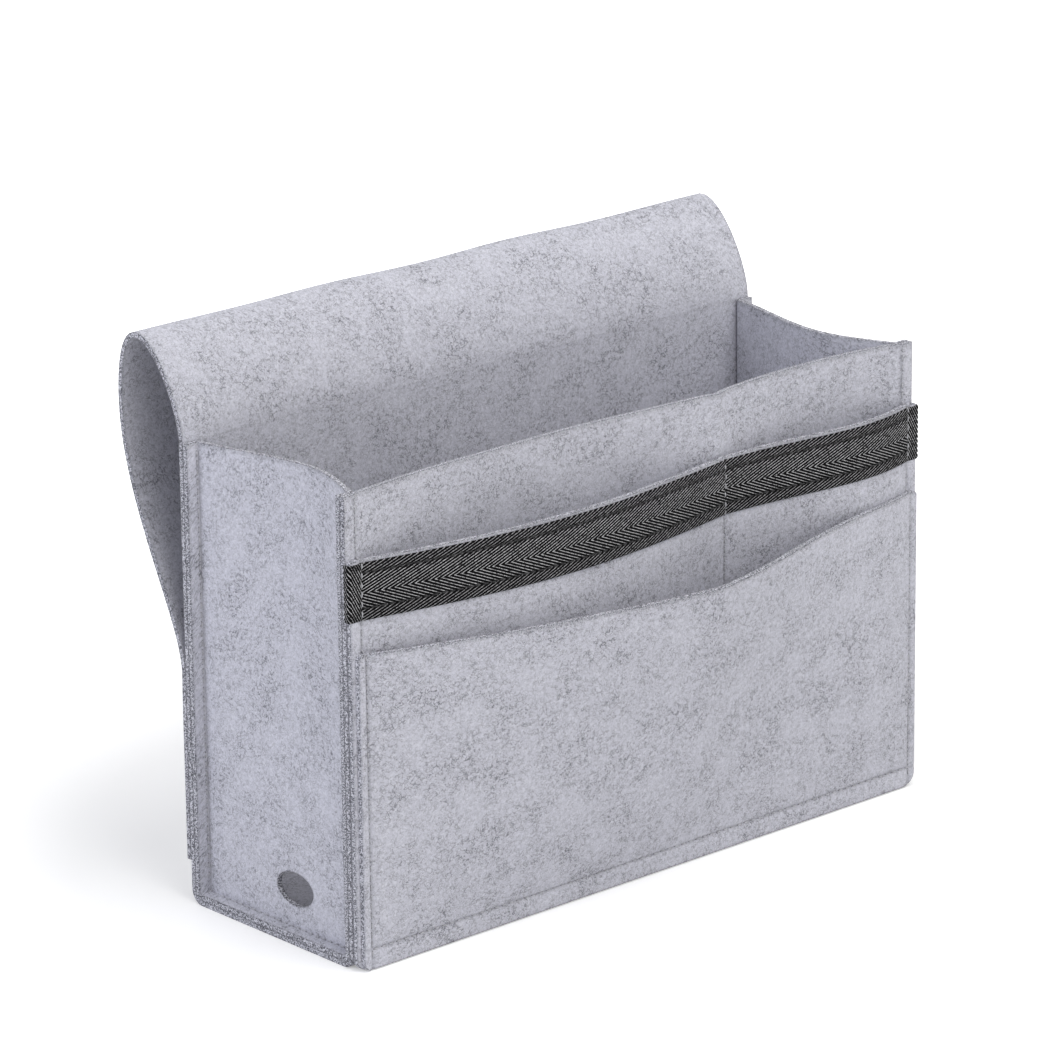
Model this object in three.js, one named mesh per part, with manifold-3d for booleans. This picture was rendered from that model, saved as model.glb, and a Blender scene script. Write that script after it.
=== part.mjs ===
// A felt bedside caddy, in millimetres: +X to the right along the front, +Y to the back, +Z up.
// The origin is the middle of the underside of the base.
//
// One strip of felt is folded into the front wall, the base and the back wall, and runs on over
// the top as the flap that is tucked under a mattress. Two gussets close the ends, with their seam
// allowances turned outwards against the strip. A device pocket edged with herringbone tape and a
// lower front pocket are sewn on to the front wall. Every felt piece is a curved sheet that is
// given its thickness, so pieces that lie on each other follow the same formulas.

import * as THREE from "three";
import { mergeVertices } from "three/addons/utils/BufferGeometryUtils.js";
import Module from "manifold-3d";

// Overall sizes of the body
const WIDTH = 306; // across the strip, cut edge to cut edge
const DEPTH = 97; // front wall to back wall, at the middle of the felt
const HEIGHT = 192; // floor to the top of the front wall and of the gussets

// Felt, tape and seams
const FELT = 2.2; // thickness of the felt
const TAPE = 1; // thickness of the herringbone tape
const CLEARANCE = 0.3; // between layers that lie on each other
const SEAM = 5.5; // seam allowance, cut edge to stitch line
const GUSSET_BEND = 1.5; // radius at which a gusset turns out into its seam allowance
const GUSSET_CORNER = 0.8; // radius left in a gusset's lower corners inside that bend
const GUSSET_BOW = 10; // how far a gusset is drawn in at its top edge

// Cable hole in each gusset, an oval
const HOLE_LENGTH = 22; // from front to back
const HOLE_HEIGHT = 13.5;
const HOLE_FROM_FRONT = 40.7; // front wall to the middle of the hole
const HOLE_FROM_FLOOR = 20.2; // floor to the middle of the hole

// Pockets on the front wall
const DIVIDER = 43.5; // stitch line between the tablet and phone compartments, from the middle
const DEVICE_HEIGHT = 166.5; // floor to the top edge of the device pocket
const FRONT_DROP = 37; // device pocket's top edge down to the front pocket's, at its ends
const POCKET_STITCH = 8.7; // floor to the stitch line along the bottom of both pockets
const HEM = 0.4; // floor to the bottom edge of both pockets
const HEM_CORNER = 5; // radius of the pockets' lower corners
const MOUTH_CORNER = 3; // radius of the front pocket's upper corners
const TAPE_WIDTH = 23;
const TAPE_DROP = 1; // felt that shows above the tape

// Slack in the felt: how far each panel stands off its straight line
const TABLET_BULGE = 12.3; // device pocket, forwards, tablet compartment
const PHONE_BULGE = 3.5; // device pocket, forwards, phone compartment
const TABLET_BOW = 6.5; // front wall, backwards, behind the tablet compartment
const PHONE_BOW = 6.5; // front wall, backwards, behind the phone compartment
const GAPE = 22; // front pocket's mouth, forwards from the device pocket
const GAPE_MIDDLE = 21.5; // where the mouth gapes most, from the middle
const GAPE_REACH = 109; // how far to each side the mouth gapes
const BOW_FLATNESS = 0.6; // power that flattens the front wall's two bows
const WALL_FILL = 4; // power: how soon the front wall bows above the bottom stitch line
const DEVICE_FILL = 5; // power: how soon the device pocket fills out above it
const GUSSET_FILL = 1.4; // power: how late a gusset's bow grows towards its top
const GUSSET_SKEW = 1.3; // power: how far the bow lies towards the front wall

// Flap: the crown that rises from the back wall, the belly behind it and the straight tail
const CROWN_LEAN = 4; // how far the start of the crown leans back
const CROWN_RISE = 30; // pull of the crown's curve upwards from the back wall
const CROWN_SWEEP = 52; // pull of the crown's curve upwards from the belly
const FOLD = 0.46; // share of the crown's curve that stays with the back wall
const BELLY_BEHIND = 37.2; // back wall to the belly, the rearmost line of the loop
const BELLY_HEIGHT = 203; // floor to the belly
const BELLY_DROP = 45; // pull of the curve straight down from the belly
const LANDING_HEIGHT = 96; // floor to where the tail lies against the back wall
const LANDING_RISE = 22; // pull of the curve straight up from the landing
const TAIL_END = 18; // floor to the cut end of the flap

// Places that follow from the sizes above
const layer = FELT + CLEARANCE; // from one felt layer to the next
const frontY = -DEPTH / 2;
const backY = DEPTH / 2;
const edgeX = WIDTH / 2;
const stitchX = edgeX - SEAM;
const stripRadius = layer + GUSSET_BEND + GUSSET_CORNER; // bends between the base and the walls
const deviceY = frontY - layer;
const pocketY = deviceY - layer;
const mouthZ = DEVICE_HEIGHT - FRONT_DROP; // top edge of the front pocket, at its ends

const felt = new THREE.MeshStandardMaterial({ color: 0xb4b4bf, roughness: 0.95, metalness: 0 });
const herringbone = new THREE.MeshStandardMaterial({ color: 0x3d3d40, roughness: 0.8, metalness: 0 });

const wasm = await Module();
wasm.setup();

// Sheets and solids

// Stations from each mark to the next, in the given numbers of steps.
function spread(marks, steps) {
  const stations = [marks[0]];
  steps.forEach((count, k) => {
    for (let i = 1; i <= count; i++) {
      stations.push(marks[k] + ((marks[k + 1] - marks[k]) * i) / count);
    }
  });
  return stations;
}

// A grid of quads over two lists of stations, with pointAt giving each point.
function gridSheet(across, along, pointAt) {
  const points = along.flatMap((v) => across.map((u) => pointAt(u, v)));
  const quads = [];
  const width = across.length;
  for (let j = 0; j + 1 < along.length; j++) {
    for (let i = 0; i + 1 < width; i++) {
      const a = j * width + i;
      quads.push([a, a + 1, a + width + 1, a + width]);
    }
  }
  return { points, quads };
}

// The normal of a quad, by its diagonals.
function quadNormal(points, [a, b, c, d]) {
  const ac = points[c].clone().sub(points[a]);
  const bd = points[d].clone().sub(points[b]);
  return ac.cross(bd).normalize();
}

// A closed solid of even thickness around a sheet: two offset skins, and a wall along each free edge.
function thicken({ points, quads }, thickness) {
  const normals = points.map(() => new THREE.Vector3());
  const faces = quads.map((quad) => quadNormal(points, quad));
  quads.forEach((quad, f) => quad.forEach((p) => normals[p].add(faces[f])));
  normals.forEach((n) => n.normalize());
  const slant = points.map(() => []);
  quads.forEach((quad, f) => quad.forEach((p) => slant[p].push(normals[p].dot(faces[f]))));

  const positions = [];
  for (const side of [1, -1]) {
    points.forEach((point, p) => {
      const mean = slant[p].reduce((sum, s) => sum + s, 0) / slant[p].length;
      positions.push(...point.clone().addScaledVector(normals[p], (side * thickness) / 2 / mean));
    });
  }
  const count = points.length;
  const free = new Map();
  const index = [];
  for (const [a, b, c, d] of quads) {
    index.push(a, b, c, a, c, d);
    index.push(count + a, count + c, count + b, count + a, count + d, count + c);
    for (const [p, q] of [[a, b], [b, c], [c, d], [d, a]]) {
      if (!free.delete(`${q},${p}`)) free.set(`${p},${q}`, [p, q]);
    }
  }
  for (const [p, q] of free.values()) index.push(p, count + p, count + q, p, count + q, q);
  const geometry = new THREE.BufferGeometry();
  geometry.setAttribute("position", new THREE.Float32BufferAttribute(positions, 3));
  geometry.setIndex(index);
  return geometry;
}

// A geometry as a solid that can be cut, and back again.
function toSolid(geometry) {
  const bare = geometry.clone();
  bare.deleteAttribute("normal");
  bare.deleteAttribute("uv");
  const merged = mergeVertices(bare);
  return new wasm.Manifold(
    new wasm.Mesh({
      numProp: 3,
      vertProperties: new Float32Array(merged.attributes.position.array),
      triVerts: new Uint32Array(merged.index.array),
    }),
  );
}

function toGeometry(solid) {
  const { vertProperties, triVerts } = solid.getMesh();
  const geometry = new THREE.BufferGeometry();
  geometry.setAttribute("position", new THREE.BufferAttribute(vertProperties, 3));
  geometry.setIndex(new THREE.BufferAttribute(triVerts, 1));
  return geometry;
}

function part(name, geometry, material) {
  geometry.computeVertexNormals();
  const mesh = new THREE.Mesh(geometry, material);
  mesh.name = name;
  return mesh;
}

// How the felt hangs

const share = (value, from, to) => Math.min(1, Math.max(0, (value - from) / (to - from)));

// A smooth arch between two places, 1 at its middle.
const arch = (x, from, to) => Math.sin(Math.PI * share(x, from, to));

// The two compartments of the device pocket, each with its own slack. A small power flattens them.
const compartments = (x, tablet, phone, power) =>
  tablet * arch(x, -stitchX, DIVIDER) ** power + phone * arch(x, DIVIDER, stitchX) ** power;

// How soon a panel is filled out above the bottom stitch line, 1 at the given top.
const filled = (z, top, quickness) => 1 - (1 - share(z, POCKET_STITCH, top)) ** quickness;

// Front wall: backwards, most at its top edge.
const wallBow = (x, z) =>
  compartments(x, TABLET_BOW, PHONE_BOW, BOW_FLATNESS) * filled(z, HEIGHT, WALL_FILL);

// Device pocket: forwards, filled out sooner.
const deviceBulge = (x, z) =>
  compartments(x, TABLET_BULGE, PHONE_BULGE, 1) * filled(z, DEVICE_HEIGHT, DEVICE_FILL);

// Front pocket: it lies on the device pocket, and gapes round one place of its mouth.
function pocketBulge(x, z) {
  const across = arch(x, GAPE_MIDDLE - GAPE_REACH, GAPE_MIDDLE + GAPE_REACH) ** 2;
  return deviceBulge(x, z) + GAPE * across * share(z, POCKET_STITCH, mouthZ);
}

// How far a rounded corner of a pocket cuts in from a straight edge.
function cornerCut(x, radius) {
  const into = Math.max(0, Math.abs(x) - (edgeX - radius));
  return radius - Math.sqrt(Math.max(0, radius ** 2 - into ** 2));
}

// The front pocket leans forwards by its bulge, so its top edge sinks by what the lean takes up.
function pocketTop(x) {
  const lean = pocketBulge(x, mouthZ) ** 2 / (2 * mouthZ);
  return mouthZ - lean - cornerCut(x, MOUTH_CORNER);
}

const pocketBottom = (x) => HEM + cornerCut(x, HEM_CORNER);

// The strip

const vector = (y, z) => new THREE.Vector2(y, z);

// The flap's line from the back wall over the crown to the belly, down to the landing, and the tail.
const tailY = backY + layer;
const belly = vector(backY + BELLY_BEHIND, BELLY_HEIGHT);
const crown = new THREE.CubicBezierCurve(
  vector(backY, HEIGHT),
  vector(backY + CROWN_LEAN, HEIGHT + CROWN_RISE),
  vector(belly.x, belly.y + CROWN_SWEEP),
  belly,
);
const fall = new THREE.CubicBezierCurve(
  belly,
  vector(belly.x, belly.y - BELLY_DROP),
  vector(tailY, LANDING_HEIGHT + LANDING_RISE),
  vector(tailY, LANDING_HEIGHT),
);
const foldGap = CLEARANCE / 2 / crown.getLength(); // half the gap at the fold, as a share of the crown
const foldShare = crown.getUtoTmapping(FOLD);
const foldPoint = crown.getPoint(foldShare);
const foldTangent = crown.getTangent(foldShare);

// Points of a curve between two shares of its length.
function along(curve, from, to, steps) {
  return spread([from, to], [steps]).map((u) => curve.getPointAt(u));
}

// A quarter of the strip's bend, round a centre, between two angles in degrees.
function bend(y, z, from, to, steps) {
  return spread([from, to], [steps]).map((degrees) => {
    const angle = THREE.MathUtils.degToRad(degrees);
    return vector(y + stripRadius * Math.cos(angle), z + stripRadius * Math.sin(angle));
  });
}

// The body strip: down the front wall, along the base, up the back wall and the neck of the flap.
function bodyStrip() {
  const bendZ = FELT / 2 + stripRadius;
  const line = [
    ...spread([HEIGHT, bendZ], [7]).slice(0, -1).map((z) => vector(frontY, z)),
    ...bend(frontY + stripRadius, bendZ, 180, 270, 4),
    ...bend(backY - stripRadius, bendZ, 270, 360, 4),
    ...along(crown, 0, FOLD - foldGap, 7),
  ];
  const across = spread([-edgeX, -stitchX, DIVIDER, stitchX, edgeX], [1, 8, 5, 1]);
  const sheet = gridSheet(across, line, (x, { x: y, y: z }) => {
    const front = y < 0 && z > bendZ ? wallBow(x, z) : 0;
    return new THREE.Vector3(x, y + front, z);
  });
  return part("body_strip", thicken(sheet, FELT), felt);
}

// The mattress flap, in a group that stands on the line it folds about: the outside of the felt.
function mattressFlap() {
  const outwards = vector(-foldTangent.y, foldTangent.x).multiplyScalar(FELT / 2);
  const axis = foldPoint.clone().add(outwards);
  const line = [
    ...along(crown, FOLD + foldGap, 1, 10).slice(0, -1),
    ...along(fall, 0, 1, 14),
    vector(tailY, TAIL_END),
  ];
  const sheet = gridSheet([-edgeX, edgeX], line, (x, { x: y, y: z }) =>
    new THREE.Vector3(x, y - axis.x, z - axis.y));
  const pivot = new THREE.Group();
  pivot.position.set(0, axis.x, axis.y);
  pivot.add(part("mattress_flap", thicken(sheet, FELT), felt));
  return pivot;
}

// The gussets

// The left gusset: a wall drawn in at its top, with its edges turned out along the strip's inside.
function gussetSheet() {
  const rimFront = frontY + layer;
  const rimBack = backY - layer;
  const rimZ = FELT / 2 + layer;
  const rimRadius = stripRadius - layer;
  const wallX = stitchX - GUSSET_BEND;

  // Stations along the rim, front top to back top: place and inward direction, in y and z.
  const heights = spread([HEIGHT, rimZ + rimRadius], [8]);
  const lengths = spread([rimFront + rimRadius, rimBack - rimRadius], [8]);
  const corner = (y, degrees) => {
    const angle = THREE.MathUtils.degToRad(degrees);
    const inward = vector(-Math.cos(angle), -Math.sin(angle));
    const place = vector(y, rimZ + rimRadius).addScaledVector(inward, -rimRadius);
    return { place, inward };
  };
  const rim = [
    ...heights.map((z) => ({ place: vector(rimFront, z), inward: vector(1, 0) })),
    corner(rimFront + rimRadius, 225),
    ...lengths.map((y) => ({ place: vector(y, rimZ), inward: vector(0, 1) })),
    corner(rimBack - rimRadius, 315),
    ...heights.toReversed().map((z) => ({ place: vector(rimBack, z), inward: vector(-1, 0) })),
  ];

  // The seam allowance and its bend: rows of points along the rim.
  const points = [];
  const quads = [];
  const turns = [0, 30, 60, 90].map((degrees) => {
    const angle = THREE.MathUtils.degToRad(degrees);
    return { x: -stitchX + GUSSET_BEND * Math.sin(angle), in: GUSSET_BEND * (1 - Math.cos(angle)) };
  });
  const rows = [{ x: -edgeX, in: 0 }, ...turns];
  for (const row of rows) {
    for (const { place, inward } of rim) {
      const at = place.clone().addScaledVector(inward, row.in);
      points.push(new THREE.Vector3(row.x, at.x, at.y));
    }
  }
  for (let j = 0; j + 1 < rows.length; j++) {
    for (let i = 0; i + 1 < rim.length; i++) {
      const a = j * rim.length + i;
      quads.push([a, a + 1, a + rim.length + 1, a + rim.length]);
    }
  }

  // The wall inside the bend: a grid whose left, lower and right edges are the last row.
  const lastRow = (rows.length - 1) * rim.length;
  const columns = lengths.length + 1;
  const wallPoint = (j, i) => {
    if (i === 0) return lastRow + j;
    if (i === columns) return lastRow + rim.length - 1 - j;
    if (j === heights.length) return lastRow + heights.length + i;
    const from = points[lastRow + j];
    const to = points[lastRow + rim.length - 1 - j];
    const y = from.y + ((to.y - from.y) * i) / columns;
    const skewed = 1 - share(y, to.y, from.y) ** GUSSET_SKEW;
    const grown = share(from.z, rimZ, HEIGHT) ** GUSSET_FILL;
    const bow = GUSSET_BOW * Math.sin(Math.PI * skewed) * grown;
    points.push(new THREE.Vector3(-wallX + bow, y, from.z));
    return points.length - 1;
  };
  const wall = [];
  for (let j = 0; j <= heights.length; j++) {
    wall.push(Array.from({ length: columns + 1 }, (_, i) => wallPoint(j, i)));
  }
  for (let j = 0; j < heights.length; j++) {
    for (let i = 0; i < columns; i++) {
      quads.push([wall[j][i], wall[j + 1][i], wall[j + 1][i + 1], wall[j][i + 1]]);
    }
  }
  return { points, quads };
}

// The oval punch for the cable hole, long enough to pass the bowed wall.
function cablePunch() {
  const oval = new THREE.Shape().absellipse(0, 0, HOLE_LENGTH / 2, HOLE_HEIGHT / 2, 0, 2 * Math.PI);
  const depth = 2 * (SEAM + GUSSET_BEND + GUSSET_BOW + FELT);
  const punch = new THREE.ExtrudeGeometry(oval, { depth, curveSegments: 12, bevelEnabled: false });
  punch.rotateX(Math.PI / 2).rotateZ(Math.PI / 2);
  punch.translate(-edgeX - FELT, frontY + HOLE_FROM_FRONT, HOLE_FROM_FLOOR);
  return punch;
}

function gussets() {
  const left = toGeometry(toSolid(thicken(gussetSheet(), FELT)).subtract(toSolid(cablePunch())));
  const right = left.clone().scale(-1, 1, 1);
  const turned = right.index.array;
  for (let t = 0; t < turned.length; t += 3) [turned[t], turned[t + 1]] = [turned[t + 1], turned[t]];
  return [part("left_gusset", left, felt), part("right_gusset", right, felt)];
}

// The pockets

const pocketAcross = spread([-edgeX, -stitchX, DIVIDER, stitchX, edgeX], [4, 10, 6, 4]);

// Heights that both pocket panels share: 0 at the bottom edge, 1 at the stitch line, 2 at the top of
// the front pocket and 3 at the top of the device pocket, with more rows just above the stitch line.
function pocketHeight(x, v) {
  const levels = [pocketBottom(x), POCKET_STITCH, pocketTop(x), DEVICE_HEIGHT];
  const level = Math.min(Math.floor(v), 2);
  const into = level === 1 ? (v - level) ** 1.6 : v - level;
  return levels[level] + (levels[level + 1] - levels[level]) * into;
}

// A pocket panel, a sheet that follows its bulge.
function pocketPanel(name, y, rows, bulge) {
  const sheet = gridSheet(pocketAcross, rows, (x, v) => {
    const z = pocketHeight(x, v);
    return new THREE.Vector3(x, y - bulge(x, z), z);
  });
  return part(name, thicken(sheet, FELT), felt);
}

// The herringbone tape along the device pocket's top edge, turned round its two side edges.
function pocketTape() {
  const off = FELT / 2 + CLEARANCE + TAPE / 2;
  const endX = edgeX + CLEARANCE + TAPE / 2;
  const top = DEVICE_HEIGHT - TAPE_DROP;
  const inner = pocketAcross.slice(1, -1);
  const across = [
    { x: -endX, y: FELT / 2 },
    ...[-endX, ...inner, endX].map((x) => ({ x, y: -off })),
    { x: endX, y: FELT / 2 },
  ];
  const sheet = gridSheet(across, spread([top - TAPE_WIDTH, top], [2]), ({ x, y }, z) =>
    new THREE.Vector3(x, deviceY + y - deviceBulge(x, z), z));
  return part("pocket_tape", thicken(sheet, TAPE), herringbone);
}

const caddy = new THREE.Group();
caddy.name = "bedside_caddy";
caddy.add(
  bodyStrip(),
  mattressFlap(),
  ...gussets(),
  pocketPanel("device_pocket", deviceY, spread([0, 1, 2, 3], [1, 7, 2]), deviceBulge),
  pocketPanel("front_pocket", pocketY, spread([0, 1, 2], [1, 7]), pocketBulge),
  pocketTape(),
);

export default caddy;
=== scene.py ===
# The looks of the felt bedside caddy, in metres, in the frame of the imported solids.
# The panels follow the formulas of their solids; the pockets bulge a little further, as photographed.

import math

import bpy
import numpy as np
from mathutils import Matrix, Vector
from mathutils.bvhtree import BVHTree


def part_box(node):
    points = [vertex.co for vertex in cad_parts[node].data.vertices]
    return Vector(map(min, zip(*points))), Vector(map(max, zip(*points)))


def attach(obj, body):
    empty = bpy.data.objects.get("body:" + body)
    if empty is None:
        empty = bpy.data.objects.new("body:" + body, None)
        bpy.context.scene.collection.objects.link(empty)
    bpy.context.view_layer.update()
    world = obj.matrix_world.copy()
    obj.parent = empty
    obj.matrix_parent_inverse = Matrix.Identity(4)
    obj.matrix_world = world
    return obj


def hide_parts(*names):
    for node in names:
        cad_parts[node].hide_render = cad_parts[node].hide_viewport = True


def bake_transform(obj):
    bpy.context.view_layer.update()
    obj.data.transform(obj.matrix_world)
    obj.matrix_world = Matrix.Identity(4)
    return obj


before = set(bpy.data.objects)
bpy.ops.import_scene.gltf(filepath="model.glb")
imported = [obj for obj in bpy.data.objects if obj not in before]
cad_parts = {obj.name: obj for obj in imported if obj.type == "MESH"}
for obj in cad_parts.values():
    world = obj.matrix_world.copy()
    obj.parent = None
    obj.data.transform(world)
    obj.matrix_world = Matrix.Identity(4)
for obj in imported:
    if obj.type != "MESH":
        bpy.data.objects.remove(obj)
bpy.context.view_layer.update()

MM = 0.001

# Felt, tape and seams
FELT = 2.2 * MM  # thickness of the felt
TAPE = 0.7 * MM  # thickness of the tape
CLEARANCE = 0.3 * MM  # between the solids of two layers
SWELL = 0.13 * MM  # how far the felt fills it on either side
ROUND = 0.3 * MM  # radius left on a cut edge
SEAM = 5.5 * MM  # cut edge to stitch line
GUSSET_BEND = 1.5 * MM  # radius of a gusset's turn into its seam allowance
GUSSET_CORNER = 0.8 * MM  # radius left in a gusset's lower corners inside that bend
GUSSET_BOW = 10.0 * MM  # how far a gusset is drawn in at its top edge
GUSSET_FILL = 1.4  # power: how late the bow grows towards the top
GUSSET_SKEW = 1.3  # power: how far the bow lies towards the front
GUSSET_PRESS = 0.35  # share of a stitch line's depth that shows on a gusset
FRAY = 0.28 * MM  # how far the speckle of a cut edge reaches into the face
SOFT_ROUND = 0.9 * MM  # radius on the sides of the pockets
SHARP = math.radians(50)  # faces that meet at more than this are shaded apart

# Places of the solids
strip_low, strip_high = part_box("body_strip")
gusset_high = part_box("left_gusset")[1]
tape_low, tape_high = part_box("pocket_tape")
LAYER = FELT + CLEARANCE
EDGE_X = strip_high.x
STITCH_X = EDGE_X - SEAM
FRONT_Y = strip_low.y + FELT / 2
BACK_Y = gusset_high.y + CLEARANCE + FELT / 2
DEVICE_Y = FRONT_Y - LAYER
POCKET_Y = DEVICE_Y - LAYER
TAIL_Y = BACK_Y + LAYER
HEIGHT = gusset_high.z
DEVICE_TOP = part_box("device_pocket")[1].z
TAPE_TOP = tape_high.z
TAPE_WIDTH = tape_high.z - tape_low.z
TAIL_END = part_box("mattress_flap")[0].z
STRIP_RADIUS = LAYER + GUSSET_BEND + GUSSET_CORNER
BEND_Z = FELT / 2 + STRIP_RADIUS

# Cable holes
HOLE_LENGTH = 22.0 * MM
HOLE_HEIGHT = 13.5 * MM
HOLE_Y = FRONT_Y + 40.7 * MM
HOLE_Z = 20.2 * MM
HOLE_MARGIN = 4.5 * MM  # of the grid, left open round a hole for its rings
HOLE_RINGS = np.array([2.6, 1.3, 0.7]) * MM  # their distances from the hole's edge

# Pockets
DIVIDER = 43.5 * MM  # stitch line between the two device compartments
MOUTH_Z = DEVICE_TOP - 37.0 * MM  # top edge of the front pocket, at its ends
POCKET_STITCH = 8.7 * MM  # bottom stitch line
HEM = 0.4 * MM  # from the base to the pockets' bottom edges
LEFT_HEM_CORNER = 4.0 * MM  # radii of the pockets' lower corners
RIGHT_HEM_CORNER = 9.0 * MM
TRIM = 1.6 * MM  # how much narrower the front pocket is cut on either side
MOUTH_CORNER = 3.0 * MM  # radius of the front pocket's upper corners
DEVICE_CORNER = 1.5 * MM  # radius of the device pocket's upper corners
TABLET_BULGE = 12.3 * MM  # device pocket, forwards, at the tablet
PHONE_BULGE = 5.5 * MM  # and at the phone
PHONE_SKEW = 1.8  # power: how far the phone's bulge lies towards the end
DEVICE_FILL = 5  # power: how soon the device pocket fills out upwards
TABLET_BOW = 6.5 * MM  # front wall, backwards, at the tablet
PHONE_BOW = 6.5 * MM  # and at the phone
BOW_FLATNESS = 0.6  # power that flattens these two bows
WALL_FILL = 4  # power: how soon they grow upwards
GAPE = 30.0 * MM  # how far the mouth of the front pocket stands out
GAPE_MIDDLE = 13.0 * MM  # where it stands out most
GAPE_LEFT = (1.2, 0.75)  # powers of the mouth's line to its left end
GAPE_RIGHT = (1.3, 1.3)  # and to its right end
GAPE_JOIN = 4  # power: how sharply that line passes into the device pocket's

# Flap, from the back wall's top over its crown and belly to where it lands on the wall
CROWN_LEAN = 4.0 * MM
CROWN_RISE = 30.0 * MM
CROWN_SWEEP = 52.0 * MM
BELLY_BEHIND = 37.2 * MM  # from the back wall
BELLY_Z = 203.0 * MM
BELLY_DROP = 45.0 * MM
LANDING_Z = 96.0 * MM
LANDING_RISE = 22.0 * MM
LEAN_SOFT = 8.0 * MM  # length over which the flap's lean starts

# How stitches press into the felt
PRESS = 0.4 * MM  # depth of a stitch line
PRESS_REACH = 0.8 * MM
PUFF = 0.35 * MM  # how far the felt swells again beside a stitch line
PUFF_REACH = 7.0 * MM
PUFF_PEAK = 2.7  # brings the top of that swell to its full height
LIP = 0.5 * MM  # how far a margin beyond a stitch line swells
LIP_REACH = 1.15  # width of that swell, in margins
FOOT_LIP = 0.7  # share of that swell along the pockets' bottom edges

# Unevenness of the felt: its depth and the length of its hollows
BODY_SAG = 0.35 * MM
BODY_HOLLOW = 34 * MM
FLAP_SAG = 0.49 * MM  # backwards and upwards alike
FLAP_HOLLOW = 60 * MM
GUSSET_SAG = 0.4 * MM
GUSSET_HOLLOW = 30 * MM
POCKET_SAG = 0.4 * MM
POCKET_HOLLOW = 38 * MM
CROWN_FIRM = 60 * MM  # length over which it fades towards the back wall's top, from both sides
TAIL_FIRM = 60 * MM  # length of the flap's end that has none
TAIL_EASE = 50 * MM  # length over which it fades before that
FOOT_EASE = 40 * MM  # height over which it starts on gussets and pockets

# Stations of the grids
CUTS = np.array([0, 0.05, 0.15, 0.3]) * MM  # lines that round a cut edge
FINE = 0.6 * MM
PLAIN = 2.2 * MM
FOLD_STEP = 9  # degrees, round a fold of the strip
CORNER_STEP = 7.5  # degrees, round a gusset's lower corner
BEND_STEP = 15  # degrees, round a small bend
MARGIN_STEP = 0.8 * MM  # across a gusset's seam allowance
TAPE_STEP = 0.45 * MM  # along the tape
YARN_STEP = 0.21 * MM  # across it
SEAM_FINE = 5 * MM  # how far fine stations reach from a seam into a panel
LINE_FINE = 4 * MM  # and to either side of a stitch line in it
FINE_TOP = POCKET_STITCH + SEAM_FINE  # upper end of the fine rows of a pocket


# Stations and formulas

def run(start, stop, step):
    """Even stations from start to stop, both included."""
    return np.linspace(start, stop, max(1, round(abs(stop - start) / step)) + 1)


def joined(*runs):
    """The stations of several runs, in order, each once."""
    return np.unique(np.round(np.concatenate(runs), 8))


def across(*fine_places):
    """Stations across the strip, finer at its seams and at the places given."""
    margin = STITCH_X - SEAM_FINE
    mark = -margin
    runs = [-EDGE_X + CUTS, run(-EDGE_X + CUTS[-1], -margin, FINE)]
    for place in fine_places:
        runs.append(run(mark, place - LINE_FINE, PLAIN))
        runs.append(run(place - LINE_FINE, place + LINE_FINE, FINE))
        mark = place + LINE_FINE
    runs.append(run(mark, margin, PLAIN))
    runs += [run(margin, EDGE_X - CUTS[-1], FINE), EDGE_X - CUTS]
    return joined(*runs)


def share(value, start, stop):
    """How far a value has come from start to stop, 0 to 1."""
    return np.clip((value - start) / (stop - start), 0, 1)


def ease(value):
    return value * value * (3 - 2 * value)


def arch(x, start, stop):
    """Half a sine wave from start to stop, and 0 outside."""
    return np.sin(np.pi * share(x, start, stop))


def filled(z, top, quickness):
    """How full a panel is at a height: 0 at the pockets' stitch line, 1 at the top."""
    return 1 - (1 - share(z, POCKET_STITCH, top)) ** quickness


def wall_bow(x, z):
    """How far the front wall is pushed back by what the device pocket holds."""
    tablet = arch(x, -STITCH_X, DIVIDER) ** BOW_FLATNESS
    phone = arch(x, DIVIDER, STITCH_X) ** BOW_FLATNESS
    return (TABLET_BOW * tablet + PHONE_BOW * phone) * filled(z, HEIGHT, WALL_FILL)


def device_bulge(x, z):
    """How far the device pocket stands out."""
    tablet = arch(x, -STITCH_X, DIVIDER)
    phone = np.sin(np.pi * share(x, DIVIDER, STITCH_X) ** PHONE_SKEW)
    return (TABLET_BULGE * tablet + PHONE_BULGE * phone) * filled(z, DEVICE_TOP, DEVICE_FILL)


def mouth_bulge(x):
    """How far the front pocket's mouth stands out beyond the device pocket."""
    left = (1 - (1 - share(x, -STITCH_X, GAPE_MIDDLE)) ** GAPE_LEFT[0]) ** GAPE_LEFT[1]
    right = (1 - share(x, GAPE_MIDDLE, STITCH_X) ** GAPE_RIGHT[0]) ** GAPE_RIGHT[1]
    behind = device_bulge(x, MOUTH_Z)
    return ((GAPE * left * right) ** GAPE_JOIN + behind**GAPE_JOIN) ** (1 / GAPE_JOIN) - behind


def pocket_bulge(x, z):
    """How far the front pocket stands out."""
    return device_bulge(x, z) + mouth_bulge(x) * share(z, POCKET_STITCH, MOUTH_Z)


def corner_cut(x, radius):
    """How much a rounded corner of a pocket takes off its height."""
    into = np.maximum(0, np.abs(x) - (EDGE_X - radius))
    return radius - np.sqrt(np.maximum(0, radius**2 - into**2))


def device_top(x):
    """Height of the device pocket's top edge."""
    return DEVICE_TOP - corner_cut(x, DEVICE_CORNER)


def pocket_top(x):
    """Height of the front pocket's top edge, lower where the pocket leans out further."""
    return MOUTH_Z - pocket_bulge(x, MOUTH_Z) ** 2 / (2 * MOUTH_Z) - corner_cut(x, MOUTH_CORNER)


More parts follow.
